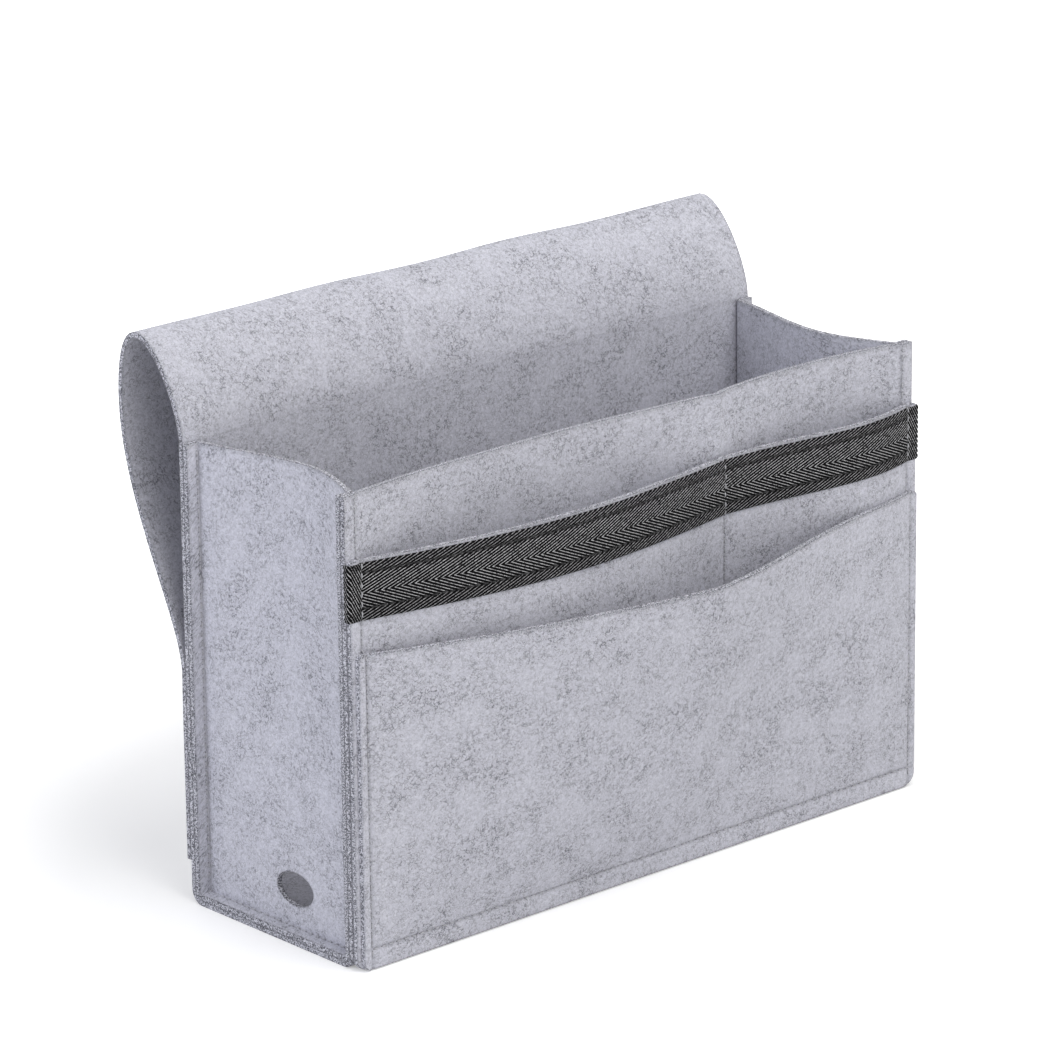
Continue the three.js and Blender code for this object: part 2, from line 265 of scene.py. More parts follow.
def ripple(seed, length, waves=14, slowest=0.6, quickest=1.5):
    """A soft, seeded unevenness over two coordinates, about -1 to 1, with hollows of the given length."""
    rng = np.random.default_rng(seed)
    turns = rng.uniform(0, 2 * np.pi, waves)
    numbers = rng.uniform(slowest, quickest, waves) * np.pi / length
    phases = rng.uniform(0, 2 * np.pi, waves)

    def height(a, b):
        total = sum(
            np.sin(number * (a * math.cos(turn) + b * math.sin(turn)) + phase)
            for turn, number, phase in zip(turns, numbers, phases)
        )
        return total / math.sqrt(waves)

    return height


def half_felt(rim, radius=ROUND):
    """Half the felt's thickness at a distance from the nearest cut edge."""
    into = np.clip(radius - rim, 0, radius)
    return FELT / 2 + SWELL - radius + np.sqrt(radius**2 - into**2)


def press(distance):
    """How deep a stitch line presses the felt at a distance from it."""
    return PRESS * np.exp(-((distance / PRESS_REACH) ** 2))


def puff(distance):
    """How far the felt swells beside a stitch line, on its loose side."""
    reach = np.maximum(distance, 0) / PUFF_REACH
    return PUFF * PUFF_PEAK * reach * np.exp(-reach)


# Sheets

def unit(vectors):
    return vectors / np.linalg.norm(vectors, axis=1, keepdims=True)


def surface_normals(points, quads):
    """Unit normals at the points of a surface, from the quads that meet there."""
    a, b, c, d = (points[quads[:, k]] for k in range(4))
    faces = np.cross(c - a, d - b)
    normals = np.zeros_like(points)
    for k in range(4):
        np.add.at(normals, quads[:, k], faces)
    return unit(normals)


def free_edges(quads):
    """Edges that only one quad has, in that quad's direction."""
    edges = np.concatenate([quads[:, [k, (k + 1) % 4]] for k in range(4)])
    size = quads.max() + 1
    return edges[~np.isin(edges[:, 0] * size + edges[:, 1], edges[:, 1] * size + edges[:, 0])]


def grid_quads(rows, columns):
    """The quads of a grid whose points are counted row by row."""
    first = (np.arange(rows - 1)[:, None] * columns + np.arange(columns - 1)).ravel()
    return np.stack([first, first + 1, first + columns + 1, first + columns], axis=1)


def closed_sheet(points, quads, up, down, flat, steps=3):
    """A closed skin round a surface, up and down being its thickness on either side.

    Returns its points, quads, flat coordinates and the points of the surface that each one stands on."""
    count = len(points)
    normals = surface_normals(points, quads)
    layers = [points + normals * up[:, None], points - normals * down[:, None]]
    depth = [np.column_stack([flat, up]), np.column_stack([flat, -down])]
    stands = [np.arange(count), np.arange(count)]
    edges = free_edges(quads)
    rim, place = np.unique(edges, return_inverse=True)
    start, stop = place.reshape(edges.shape).T
    rings = [rim]
    for k in range(1, steps):
        level = k / steps
        rings.append(2 * count + (k - 1) * len(rim) + np.arange(len(rim)))
        layers.append(layers[0][rim] * (1 - level) + layers[1][rim] * level)
        depth.append(depth[0][rim] * (1 - level) + depth[1][rim] * level)
        stands.append(rim)
    rings.append(rim + count)
    walls = [
        np.stack([upper[stop], upper[start], lower[start], lower[stop]], axis=1)
        for upper, lower in zip(rings, rings[1:])
    ]
    faces = np.concatenate([quads, quads[:, ::-1] + count, *walls])
    return np.concatenate(layers), faces, np.concatenate(depth), np.concatenate(stands)


def placed(name, data):
    """An object of the scene, with its mesh, light or camera."""
    obj = bpy.data.objects.new(name, data)
    bpy.context.scene.collection.objects.link(obj)
    return obj


def mesh_object(name, points, faces, material, flat=None, **marks):
    """A mesh with its material and the named values of its points."""
    mesh = bpy.data.meshes.new(name)
    mesh.from_pydata(points.tolist(), [], faces.tolist())
    mesh.shade_smooth()
    mesh.set_sharp_from_angle(angle=SHARP)
    mesh.materials.append(material)
    if flat is not None:
        layer = mesh.attributes.new("flat", "FLOAT_VECTOR", "POINT")
        layer.data.foreach_set("vector", flat.astype(np.float32).ravel())
    for mark, values in marks.items():
        layer = mesh.attributes.new(mark, "FLOAT", "POINT")
        layer.data.foreach_set("value", values.astype(np.float32))
    return placed(name, mesh)


skins = {}  # points and faces of the panels by name, for the stitches to lie on


def felt_object(name, points, quads, up, down, flat, raw, sewn, patch, mirrored=False):
    """A felt panel: raw is how far a point is from a cut edge, sewn how deep a stitch line presses it
    and patch the panel's place on the bolt."""
    verts, faces, depth, stands = closed_sheet(points, quads, up, down, flat)
    if mirrored:
        verts = verts * np.array([-1, 1, 1])
        faces = faces[:, ::-1]
    verts[:, 2] = np.maximum(verts[:, 2], 0)  # pressed flat under the base
    skins[name] = (verts, faces)
    cut = np.exp(-np.maximum(raw, 0) / FRAY)[stands]
    # how deep a stitch line presses a point, 0 to 1: the mask of the painted shade in its groove
    groove = np.clip(sewn / PRESS, 0, 1)[stands]
    on_bolt = depth + np.array([patch, patch, 0])
    return mesh_object(name, verts, faces, felt, on_bolt, cut=cut, groove=groove)


# Materials

def empty_tree(owner):
    owner.use_nodes = True
    owner.node_tree.nodes.clear()
    return owner.node_tree


def put(tree, kind, inputs, **settings):
    """A node with its settings, and its inputs set or linked."""
    node = tree.nodes.new(kind)
    for key, value in settings.items():
        setattr(node, key, value)
    for key, value in inputs.items():
        if isinstance(value, bpy.types.NodeSocket):
            tree.links.new(value, node.inputs[key])
        else:
            node.inputs[key].default_value = value
    return node


def new_material(name, roughness, sheen, gloss=0.15):
    """A cloth material with its node tree and its shader."""
    material = bpy.data.materials.new(name)
    tree = empty_tree(material)
    shader = put(tree, "ShaderNodeBsdfPrincipled", {
        "Roughness": roughness, "Sheen Weight": sheen, "Sheen Roughness": 0.6,
        "Specular IOR Level": gloss,
    })
    put(tree, "ShaderNodeOutputMaterial", {"Surface": shader.outputs[0]})
    return material, tree, shader


def mark_of(tree, name):
    """A value that the mesh's points carry."""
    return put(tree, "ShaderNodeAttribute", {}, attribute_name=name).outputs["Fac"]


def flat_place(tree):
    """The place on the flat cloth, with the depth in it last."""
    return put(tree, "ShaderNodeAttribute", {}, attribute_name="flat").outputs["Vector"]


def flat_millimetres(tree):
    return put(tree, "ShaderNodeVectorMath", {0: flat_place(tree), "Scale": 1 / MM},
               operation="SCALE").outputs[0]


def noise(tree, vector, scale, detail=2.0, roughness=0.5):
    return put(tree, "ShaderNodeTexNoise", {
        "Vector": vector, "Scale": scale, "Detail": detail, "Roughness": roughness,
    }).outputs[0]


def span(tree, value, low, high, start=0.0, stop=1.0):
    """Start to stop, as a value goes from low to high."""
    return put(tree, "ShaderNodeMapRange", {
        "Value": value, "From Min": low, "From Max": high, "To Min": start, "To Max": stop,
    }).outputs[0]


def math_node(tree, operation, *values):
    return put(tree, "ShaderNodeMath", dict(enumerate(values)), operation=operation).outputs[0]


def product(tree, a, b):
    return math_node(tree, "MULTIPLY", a, b)


def mix(tree, factor, a, b, blend="MIX"):
    """A colour mixed from two."""
    a, b = (c if isinstance(c, bpy.types.NodeSocket) else (*c, 1) for c in (a, b))
    inputs = {0: factor, 6: a, 7: b}
    return put(tree, "ShaderNodeMix", inputs, data_type="RGBA", blend_type=blend).outputs[2]


FELT_GREY = (0.545, 0.545, 0.605)
FELT_DARK = (0.055, 0.055, 0.065)
FELT_PALE = (0.74, 0.74, 0.79)
DARK_CURLS = (1.6, 2.6, 1.2, 2.1)  # sizes of the dark fibres' curls, in millimetres
DARK_WIDTH = 0.035  # of a fibre, as a range of its noise
PALE_CURL = 1.8  # and of the pale ones
PALE_WIDTH = 0.08
PALE_SEED = 7


def squiggles(tree, place, seed, size, width, low, high):
    """Short curled fibres: thin contour lines of a noise, broken up by a second one."""
    apart = put(tree, "ShaderNodeVectorMath", {0: place, 1: (37.0 * seed, 11.0 * seed, 5.0 * seed)},
                operation="ADD").outputs[0]
    field = math_node(tree, "SUBTRACT", noise(tree, apart, 1 / size, 1.5), 0.5)
    line = span(tree, math_node(tree, "ABSOLUTE", field), width, 0.0)
    return product(tree, line, span(tree, noise(tree, apart, 0.8 / size, 0.0), low, high))


def felt_material():
    """Heathered felt: cloudy grey with curled fibres, speckled cut edges, and painted shade where stacked
    layers meet and in the stitch lines.
    """
    material, tree, shader = new_material("heathered_felt", 0.95, 0.12)
    place = flat_millimetres(tree)
    clouds = noise(tree, place, 0.06, 3.0, 0.55)
    dense = span(tree, clouds, 0.36, 0.64, 0.4, 1.0)
    dark = 0.0
    for seed, size in enumerate(DARK_CURLS, 1):
        layer = squiggles(tree, place, seed, size, DARK_WIDTH, 0.49, 0.57)
        dark = math_node(tree, "MAXIMUM", dark, layer)
    pale = squiggles(tree, place, PALE_SEED, PALE_CURL, PALE_WIDTH, 0.45, 0.58)
    grain = noise(tree, place, 1.3, 2.0, 0.6)
    cloudy = span(tree, clouds, 0.35, 0.65, 1.04, 0.96)
    tone = product(tree, span(tree, grain, 0.3, 0.7, 0.88, 1.12), cloudy)
    grey = put(tree, "ShaderNodeCombineColor", {0: tone, 1: tone, 2: tone}).outputs[0]
    colour = mix(tree, 1.0, FELT_GREY, grey, "MULTIPLY")
    colour = mix(tree, product(tree, pale, 0.45), colour, FELT_PALE)
    colour = mix(tree, product(tree, product(tree, dark, dense), 0.8), colour, FELT_DARK)

    # Cut edges: pale and dark speckle, and painted shade along both skins, where stacked layers meet
    raw = span(tree, mark_of(tree, "cut"), 0.05, 0.85)
    dots = noise(tree, place, 1.8, 2.0, 0.6)
    depth = math_node(tree, "ABSOLUTE", put(tree, "ShaderNodeSeparateXYZ", {0: place}).outputs[2])
    for amount, shade in (
        (span(tree, dots, 0.52, 0.64, 0.0, 0.7), FELT_PALE),
        (span(tree, dots, 0.55, 0.43, 0.0, 0.9), FELT_DARK),
        # painted shade along both skins of a cut edge
        (span(tree, depth, 0.75, 0.95, 0.0, 0.4), FELT_DARK),
    ):
        colour = mix(tree, product(tree, amount, raw), colour, shade)

    # painted shade in the stitch lines, darker where the felt is pressed deeper
    colour = mix(tree, product(tree, mark_of(tree, "groove"), 0.22), colour, FELT_DARK)
    tree.links.new(colour, shader.inputs["Base Color"])
    relief = math_node(tree, "ADD", grain, product(tree, pale, 0.4))
    bump = put(tree, "ShaderNodeBump", {"Height": relief, "Strength": 0.35, "Distance": 0.25 * MM})
    tree.links.new(bump.outputs[0], shader.inputs["Normal"])
    return material


def thread_material(name, colour):
    """Sewing thread, with painted shade where a stitch goes down into the cloth."""
    material, tree, shader = new_material(name, 0.7, 0.15)
    place = put(tree, "ShaderNodeTexCoord", {}).outputs["Object"]
    tone = span(tree, noise(tree, place, 1.2 / MM, 2.0), 0.3, 0.7)
    shade = mix(tree, tone, [c * 0.75 for c in colour], [c * 1.2 for c in colour])
    # painted shade at a stitch's ends, where it goes down into the felt
    sunk = span(tree, mark_of(tree, "sunk"), 0.5, 0.95, 0.0, 0.85)
    shade = mix(tree, sunk, shade, [c * 0.1 for c in colour])
    tree.links.new(shade, shader.inputs["Base Color"])
    return material


# Herringbone: bands of ribs that climb to the right, to the left and to the right again
RIB_PITCH = 2.9 * MM  # along the tape
RIB_SLOPE = 0.43  # rise over run
CHEVRON = 0.48 * TAPE_WIDTH  # line between the upper and the middle band
LOW_CHEVRON = 0.21 * TAPE_WIDTH  # line between the middle and the lowest band
END_PITCH = 1.15 * MM  # beyond the end stitches, where the ribs stand steeper
END_SLOPE = 1.8
RIB_HEIGHT = 0.22 * MM
RIB_FADE = 0.5 * MM  # from the tape's edges to ribs of full height
TAPE_EDGE = 0.1 * MM  # how much thinner the tape is along its edges
TAPE_BEND = 0.9 * MM  # radius of the tape's turn round the pocket's ends
END_STEPS = 5  # stations along a turned end
RIB_LIT = (0.64, 0.95)  # of a rib's wave, where it turns from dark to light
RIB_GRAIN = 0.35  # how far its yarns move that line
TAPE_ROWS = (0.21, 0.83)  # stitch rows, as shares of the tape's width from below
ROW_REACH = 0.6 * MM  # how far a stitch row presses the tape to either side
ROW_PRESS = 0.25 * MM  # and how deep
ROW_DARK = (0.4 * MM, 1.0 * MM)  # distances over which a row's dark line ends
UPPER_STRIP = (0.84 * TAPE_WIDTH, 0.88 * TAPE_WIDTH)  # where the darker strip along the top begins
LOWER_STRIP = (0.16 * TAPE_WIDTH, 0.2 * TAPE_WIDTH)  # where the one along the bottom ends
STRIP_DARK = 0.3  # how much darker they are
TAPE_DARK = (0.002, 0.002, 0.0025)
TAPE_LIGHT = (0.53, 0.525, 0.535)


def rib_phase(u, v):
    """Ribs passed at a place of the tape, u along it and v up from its lower edge."""
    climb = (2 * np.maximum(LOW_CHEVRON - v, 0) - np.abs(v - CHEVRON)) / RIB_SLOPE
    return np.where(np.abs(u) > STITCH_X, (u + v / END_SLOPE) / END_PITCH, (u + climb) / RIB_PITCH)


def tape_material():
    """Charcoal herringbone, its light ribs where rib_phase puts them, darker along its stitch rows."""
    material, tree, shader = new_material("herringbone", 0.75, 0.02, 0.05)
    u, v, _ = put(tree, "ShaderNodeSeparateXYZ", {0: flat_place(tree)}).outputs
    below = math_node(tree, "MAXIMUM", math_node(tree, "SUBTRACT", LOW_CHEVRON, v), 0.0)
    away = math_node(tree, "ABSOLUTE", math_node(tree, "SUBTRACT", v, CHEVRON))
    climb = math_node(tree, "SUBTRACT", product(tree, below, 2.0), away)
    climb = math_node(tree, "DIVIDE", climb, RIB_SLOPE)
    phase = math_node(tree, "DIVIDE", math_node(tree, "ADD", u, climb), RIB_PITCH)
    steep = math_node(tree, "ADD", u, math_node(tree, "DIVIDE", v, END_SLOPE))
    steep = math_node(tree, "DIVIDE", steep, END_PITCH)
    beyond = math_node(tree, "GREATER_THAN", math_node(tree, "ABSOLUTE", u), STITCH_X)
    ribs = put(tree, "ShaderNodeMix", {0: beyond, 2: phase, 3: steep}, data_type="FLOAT").outputs[0]
    wave = math_node(tree, "COSINE", product(tree, ribs, 2 * math.pi))
    grain = noise(tree, flat_millimetres(tree), 1.6, 2.0, 0.6)
    lit = math_node(tree, "ADD", wave, span(tree, grain, 0.3, 0.7, -RIB_GRAIN, RIB_GRAIN))
    colour = mix(tree, span(tree, lit, *RIB_LIT), TAPE_DARK, TAPE_LIGHT)
    for row in TAPE_ROWS:
        beside = math_node(tree, "ABSOLUTE", math_node(tree, "SUBTRACT", v, row * TAPE_WIDTH))
        pulled = math_node(tree, "SUBTRACT", span(tree, beside, *ROW_DARK, 0.7, 0.0), beyond)
        colour = mix(tree, math_node(tree, "MAXIMUM", pulled, 0.0), colour, TAPE_DARK)
    upper = span(tree, v, *UPPER_STRIP, 0.0, STRIP_DARK)
    lower = span(tree, v, *LOWER_STRIP, STRIP_DARK, 0.0)
    colour = mix(tree, math_node(tree, "ADD", upper, lower), colour, TAPE_DARK)
    tree.links.new(colour, shader.inputs["Base Color"])
    bump = put(tree, "ShaderNodeBump", {"Height": grain, "Strength": 0.4, "Distance": 0.2 * MM})
    tree.links.new(bump.outputs[0], shader.inputs["Normal"])
    return material


felt = felt_material()
pale_thread = thread_material("pale_thread", (0.48, 0.48, 0.51))
dark_thread = thread_material("dark_thread", (0.02, 0.02, 0.022))
herringbone = tape_material()


# The strip: front wall, base and back wall, then the flap

def lengths_along(line):
    """The length gone at each point of a line."""
    return np.concatenate([[0], np.cumsum(np.linalg.norm(np.diff(line, axis=0), axis=1))])


def fold(y, start, stop):
    """A fold of the strip at the base, as y and z, between two angles in degrees."""
    angles = np.radians(run(start, stop, FOLD_STEP))
    return np.column_stack([y + STRIP_RADIUS * np.cos(angles), BEND_Z + STRIP_RADIUS * np.sin(angles)])


def straight(y, zs):
    """An upright line, as y and z."""
    return np.column_stack([np.full(len(zs), y), zs])


def swept(line, along, xs):
    """The grid of a line in y and z that is carried across: x, length along the line, y and z."""
    x, s = np.meshgrid(xs, along)
    y, z = (np.repeat(line[:, k][:, None], len(xs), axis=1) for k in (0, 1))
    return x, s, y, z


def listed(*axes):
    """The points of a grid in a row, from their coordinates."""
    return np.stack(axes, axis=-1).reshape(-1, len(axes))


def body_strip():
    """The folded strip, from the front wall's top edge to the back wall's, and its length."""
    front_z = np.concatenate([HEIGHT - CUTS, run(HEIGHT - CUTS[-1], BEND_Z, PLAIN)[1:-1]])
    front_fold = fold(FRONT_Y + STRIP_RADIUS, 180, 270)
    back_fold = fold(BACK_Y - STRIP_RADIUS, 270, 360)
    base_y = run(front_fold[-1, 0], back_fold[0, 0], PLAIN)[1:-1]
    line = np.concatenate([
        straight(FRONT_Y, front_z),
        front_fold,
        np.column_stack([base_y, np.full(len(base_y), front_fold[-1, 1])]),
        back_fold,
        straight(BACK_Y, run(BEND_Z, HEIGHT, PLAIN)[1:]),
    ])
    along = lengths_along(line)
    x, s, y, z = swept(line, along, across(DIVIDER))
    front = (y < 0) & (z > BEND_Z)
    loose = arch(x, -STITCH_X, STITCH_X) * share(z, BEND_Z, HEIGHT)
    loose = np.where(y > 0, loose * (1 - share(z, HEIGHT - CROWN_FIRM, HEIGHT)), loose)
    sag = ripple(3, BODY_HOLLOW)(x, s) * loose * BODY_SAG
    y = y + np.where(front, wall_bow(x, z), 0) + np.where(z > BEND_Z, sag, 0)
    rim = np.minimum(EDGE_X - np.abs(x), s)
    seam = press(np.abs(x) - STITCH_X)
    inside = np.where(front, press(x - DIVIDER) * (z < DEVICE_TOP) + press(z - POCKET_STITCH), 0)
    half = half_felt(rim)
    sewn = np.maximum(seam, inside)
    obj = felt_object("felt_body", listed(x, y, z), grid_quads(*x.shape), (half - inside).ravel(),
                      (half - seam).ravel(), listed(x, s), rim.ravel(), sewn.ravel(), patch=0.0)
    return obj, along[-1]


def bezier(a, b, c, d, count=400):
    t = np.linspace(0, 1, count)[:, None]
    return a * (1 - t) ** 3 + 3 * b * t * (1 - t) ** 2 + 3 * c * t**2 * (1 - t) + d * t**3


def mattress_flap(strip_length):
    """The flap, from the top of the back wall to its lower end, and its length."""
    neck = np.array([BACK_Y, HEIGHT])
    belly = np.array([BACK_Y + BELLY_BEHIND, BELLY_Z])
    landing = np.array([TAIL_Y, LANDING_Z])
    up = np.array([0, 1])
    dense = np.concatenate([
        bezier(neck, neck + [CROWN_LEAN, CROWN_RISE], belly + CROWN_SWEEP * up, belly),
        bezier(belly, belly - BELLY_DROP * up, landing + LANDING_RISE * up, landing)[1:],
        straight(TAIL_Y, run(LANDING_Z, TAIL_END, PLAIN)[1:]),
    ])
    gone = lengths_along(dense)
    dense[:, 0] -= CROWN_LEAN / CROWN_RISE * gone * np.exp(-gone / LEAN_SOFT)
    length = gone[-1]
    along = joined(run(0, length - CUTS[-1], PLAIN), length - CUTS)
    line = np.column_stack([np.interp(along, gone, dense[:, k]) for k in (0, 1)])
    x, s, y, z = swept(line, along, across())
    tail = share(s, length - TAIL_FIRM - TAIL_EASE, length - TAIL_FIRM)
    free = ease(share(s, 0, CROWN_FIRM)) * (1 - ease(tail))
    sag = ripple(5, FLAP_HOLLOW)(x, s) * free * FLAP_SAG
    rim = np.minimum(EDGE_X - np.abs(x), length - s)
    half = half_felt(rim).ravel()
    obj = felt_object("felt_flap", listed(x, y + sag, z + sag), grid_quads(*x.shape), half, half,
                      listed(x, s + strip_length), rim.ravel(), np.zeros(x.size), patch=0.0)
    return obj, length


# The gussets

GUSSET_FRONT = FRONT_Y + LAYER  # where a gusset's seam allowance lies against the strip
GUSSET_BACK = BACK_Y - LAYER
GUSSET_LOW = FELT / 2 + LAYER
GUSSET_RADIUS = STRIP_RADIUS - LAYER
GUSSET_TURN = 0.7  # how far the fibres run on into the seam allowance


def gusset_edge():
    """Where a gusset meets the strip, down the front, along the base and up the back: places in y and z,
    the ways into the panel there, and the steps to the middle of the first corner."""
    bend_z = GUSSET_LOW + GUSSET_RADIUS
    heights = np.concatenate([HEIGHT - CUTS, run(HEIGHT - CUTS[-1], bend_z, PLAIN)[1:]])
    depths = run(GUSSET_FRONT + GUSSET_RADIUS, GUSSET_BACK - GUSSET_RADIUS, PLAIN)

    def corner(y, start, stop):
        angles = np.radians(run(start, stop, CORNER_STEP))[1:]
        out = np.column_stack([np.cos(angles), np.sin(angles)])
        return np.array([y, bend_z]) + GUSSET_RADIUS * out, -out

    def side(places, inward):
        return places, np.repeat([inward], len(places), axis=0)

    front_corner = corner(depths[0], 180, 270)
    runs = [
        side(straight(GUSSET_FRONT, heights), (1, 0)),
        front_corner,
        side(np.column_stack([depths, np.full(len(depths), GUSSET_LOW)])[1:], (0, 1)),
        corner(depths[-1], 270, 360),
        side(straight(GUSSET_BACK, heights[::-1])[1:], (-1, 0)),
    ]
    places, inward = (np.concatenate(parts) for parts in zip(*runs))
    return places, inward, len(heights) + len(front_corner[0]) // 2 - 1


def gusset_margin(places, inward):
    """Rings of points over the seam allowance and its bend, and their distances from the cut edge."""
    angles = np.radians(run(0, 90, BEND_STEP))[1:]
    flat_x = np.concatenate([EDGE_X - CUTS, run(EDGE_X - CUTS[-1], STITCH_X, MARGIN_STEP)[1:]])
    ring_x = np.concatenate([flat_x, STITCH_X - GUSSET_BEND * np.sin(angles)])
    ring_in = np.concatenate([np.zeros(len(flat_x)), GUSSET_BEND * (1 - np.cos(angles))])
    rings = [
        np.column_stack([np.full(len(places), -x), places + inward * into])
        for x, into in zip(ring_x, ring_in)
    ]
    return rings, EDGE_X - ring_x


def between(left, right, low):
    """The grid, in y and z, between two sides and a lower edge, with a straight top edge."""
    u = (low[:, 0] - low[0, 0]) / (low[-1, 0] - low[0, 0])
    v = (left[0, 1] - left[:, 1]) / (left[0, 1] - left[-1, 1])
    top = left[0] + u[:, None] * (right[0] - left[0])
    u, v = u[None, :, None], v[:, None, None]
    edges = (1 - u) * left[:, None] + u * right[:, None] + (1 - v) * top[None] + v * low[None]
    corners = (1 - u) * ((1 - v) * left[0] + v * left[-1]) + u * ((1 - v) * right[0] + v * right[-1])
    inner = edges - corners
    return inner[..., 0], inner[..., 1]


def drawn_in(y, z):
    """Where the left gusset's panel stands in x, drawn in more towards its top edge."""
    skewed = 1 - share(y, GUSSET_BACK - GUSSET_BEND, GUSSET_FRONT + GUSSET_BEND) ** GUSSET_SKEW
    sag = ripple(8, GUSSET_HOLLOW)(y, z) * GUSSET_SAG * share(z, GUSSET_LOW, FOOT_EASE)
    bow = GUSSET_BOW * share(z, GUSSET_LOW, HEIGHT) ** GUSSET_FILL + sag
    return GUSSET_BEND - STITCH_X + np.sin(np.pi * skewed) * bow


def gusset_surface():
    """The left gusset's surface: points, quads and the distance of each point from a cut edge."""
    places, inward, sides = gusset_edge()
    total = len(places)
    columns = total - 1 - 2 * sides
    rings, distances = gusset_margin(places, inward)
    points = np.concatenate(rings)
    quads = [grid_quads(len(rings), total)]

    # The panel's grid, which has the innermost ring on three sides
    wall = np.full((sides + 1, columns + 1), -1)
    last = (len(rings) - 1) * total
    wall[:, 0] = last + np.arange(sides + 1)
    wall[:, -1] = last + total - 1 - np.arange(sides + 1)
    wall[-1, :] = last + sides + np.arange(columns + 1)
    edge = rings[-1][:, 1:]
    left, right, low = edge[: sides + 1], edge[::-1][: sides + 1], edge[sides : sides + columns + 1]
    y, z = between(left, right, low)

    # The block of the grid that the hole takes up
    half_length = HOLE_LENGTH / 2 + HOLE_MARGIN
    half_height = HOLE_HEIGHT / 2 + HOLE_MARGIN
    i0 = np.nonzero(low[:, 0] < HOLE_Y - half_length)[0][-1]
    i1 = np.nonzero(low[:, 0] > HOLE_Y + half_length)[0][0]
    j0 = np.nonzero(left[:, 1] > HOLE_Z + half_height)[0][-1]
    j1 = np.nonzero(left[:, 1] < HOLE_Z - half_height)[0][0]
    fresh = wall < 0
    fresh[j0 + 1 : j1, i0 + 1 : i1] = False
    wall[fresh] = len(points) + np.arange(fresh.sum())
    points = np.concatenate([points, np.stack([drawn_in(y, z), y, z], axis=-1)[fresh]])
    cells = np.stack([wall[:-1, :-1], wall[1:, :-1], wall[1:, 1:], wall[:-1, 1:]], axis=-1)
    kept = np.ones(cells.shape[:2], bool)
    kept[j0:j1, i0:i1] = False
    quads.append(cells[kept])

    # Rings from the block's outline to the hole's edge
    outline = np.concatenate([wall[j0:j1, i0], wall[j1, i0:i1], wall[j1:j0:-1, i1], wall[j0, i1:i0:-1]])
    spot = points[outline][:, 1:] - [HOLE_Y, HOLE_Z]
    turns = np.arctan2(spot[:, 1] / HOLE_HEIGHT, spot[:, 0] / HOLE_LENGTH)
    rim = [np.repeat(distances, total), np.full(fresh.sum(), EDGE_X)]
    for gap in np.concatenate([HOLE_RINGS, CUTS[::-1]]):
        y = HOLE_Y + (HOLE_LENGTH / 2 + gap) * np.cos(turns)
        z = HOLE_Z + (HOLE_HEIGHT / 2 + gap) * np.sin(turns)
        ring = len(points) + np.arange(len(turns))
        points = np.concatenate([points, np.column_stack([drawn_in(y, z), y, z])])
        quads.append(np.stack([outline, np.roll(outline, -1), np.roll(ring, -1), ring], axis=1))
        rim.append(np.full(len(turns), gap))
        outline = ring
    rim = np.minimum(np.concatenate(rim), HEIGHT - points[:, 2])
    return points, np.concatenate(quads), rim


def gusset(name, patch, mirrored):
    points, quads, rim = gusset_surface()
    half = half_felt(rim)
    out = np.abs(points[:, 0])
    seam = press(out - STITCH_X) * (out > STITCH_X - GUSSET_BEND) * GUSSET_PRESS
    flat = points[:, 1:] + (out - STITCH_X)[:, None] * GUSSET_TURN
    return felt_object(name, points, quads, half, half - seam, flat, rim, seam, patch, mirrored)


# The pockets and the tape

def pocket_rows():
    """Rows of a pocket: 0 to 1 from its bottom edge to above its stitch line, then to 2 at its top edge."""
    rise = DEVICE_TOP - FINE_TOP
    lower = joined(CUTS, run(CUTS[-1], FINE_TOP, FINE)) / FINE_TOP
    upper = joined(run(0, 1 - CUTS[-1] / rise, PLAIN / rise), 1 - CUTS / rise) + 1
    return np.concatenate([lower, upper[1:]])


def pocket(name, y, top, bulge, patch, seed, divided, trim=0.0):
    """A pocket panel from its bottom edge to its top edge, pressed along its seams."""
    x, v = np.meshgrid(across(DIVIDER), pocket_rows())
    bottom = HEM + np.where(x < 0, corner_cut(x, LEFT_HEM_CORNER), corner_cut(x, RIGHT_HEM_CORNER))
    high = top(x)
    z = np.where(v <= 1, bottom + (FINE_TOP - bottom) * v, FINE_TOP + (high - FINE_TOP) * (v - 1))
    loose = arch(x, -STITCH_X, STITCH_X) * share(z, POCKET_STITCH, POCKET_STITCH + FOOT_EASE)
    sag = ripple(seed, POCKET_HOLLOW)(x, z) * loose * POCKET_SAG
    surface = y - bulge(x, z) - sag
    ends = np.maximum(np.minimum(z - bottom, high - z), 0)
    half = np.minimum(half_felt(ends), half_felt(EDGE_X - np.abs(x), SOFT_ROUND))
    raw = np.minimum(ends, EDGE_X - np.abs(x))
    side = np.abs(x) - STITCH_X
    floor = z - POCKET_STITCH
    sewn = np.maximum(press(side), press(floor))
    front = half - sewn + np.minimum(puff(-side), puff(floor))
    bead_side = arch(side, 0, SEAM * LIP_REACH)
    bead_foot = arch(-floor, 0, POCKET_STITCH * LIP_REACH)
    front = front + LIP * np.maximum(bead_side, bead_foot * FOOT_LIP)
    if divided:
        front = front - press(x - DIVIDER)
        sewn = np.maximum(sewn, press(x - DIVIDER))
    x = x - np.sign(x) * trim * share(side, 0, SEAM)
    return felt_object(name, listed(x, surface, z), grid_quads(*x.shape), front.ravel(), half.ravel(),
                       listed(x, z), raw.ravel(), sewn.ravel(), patch)


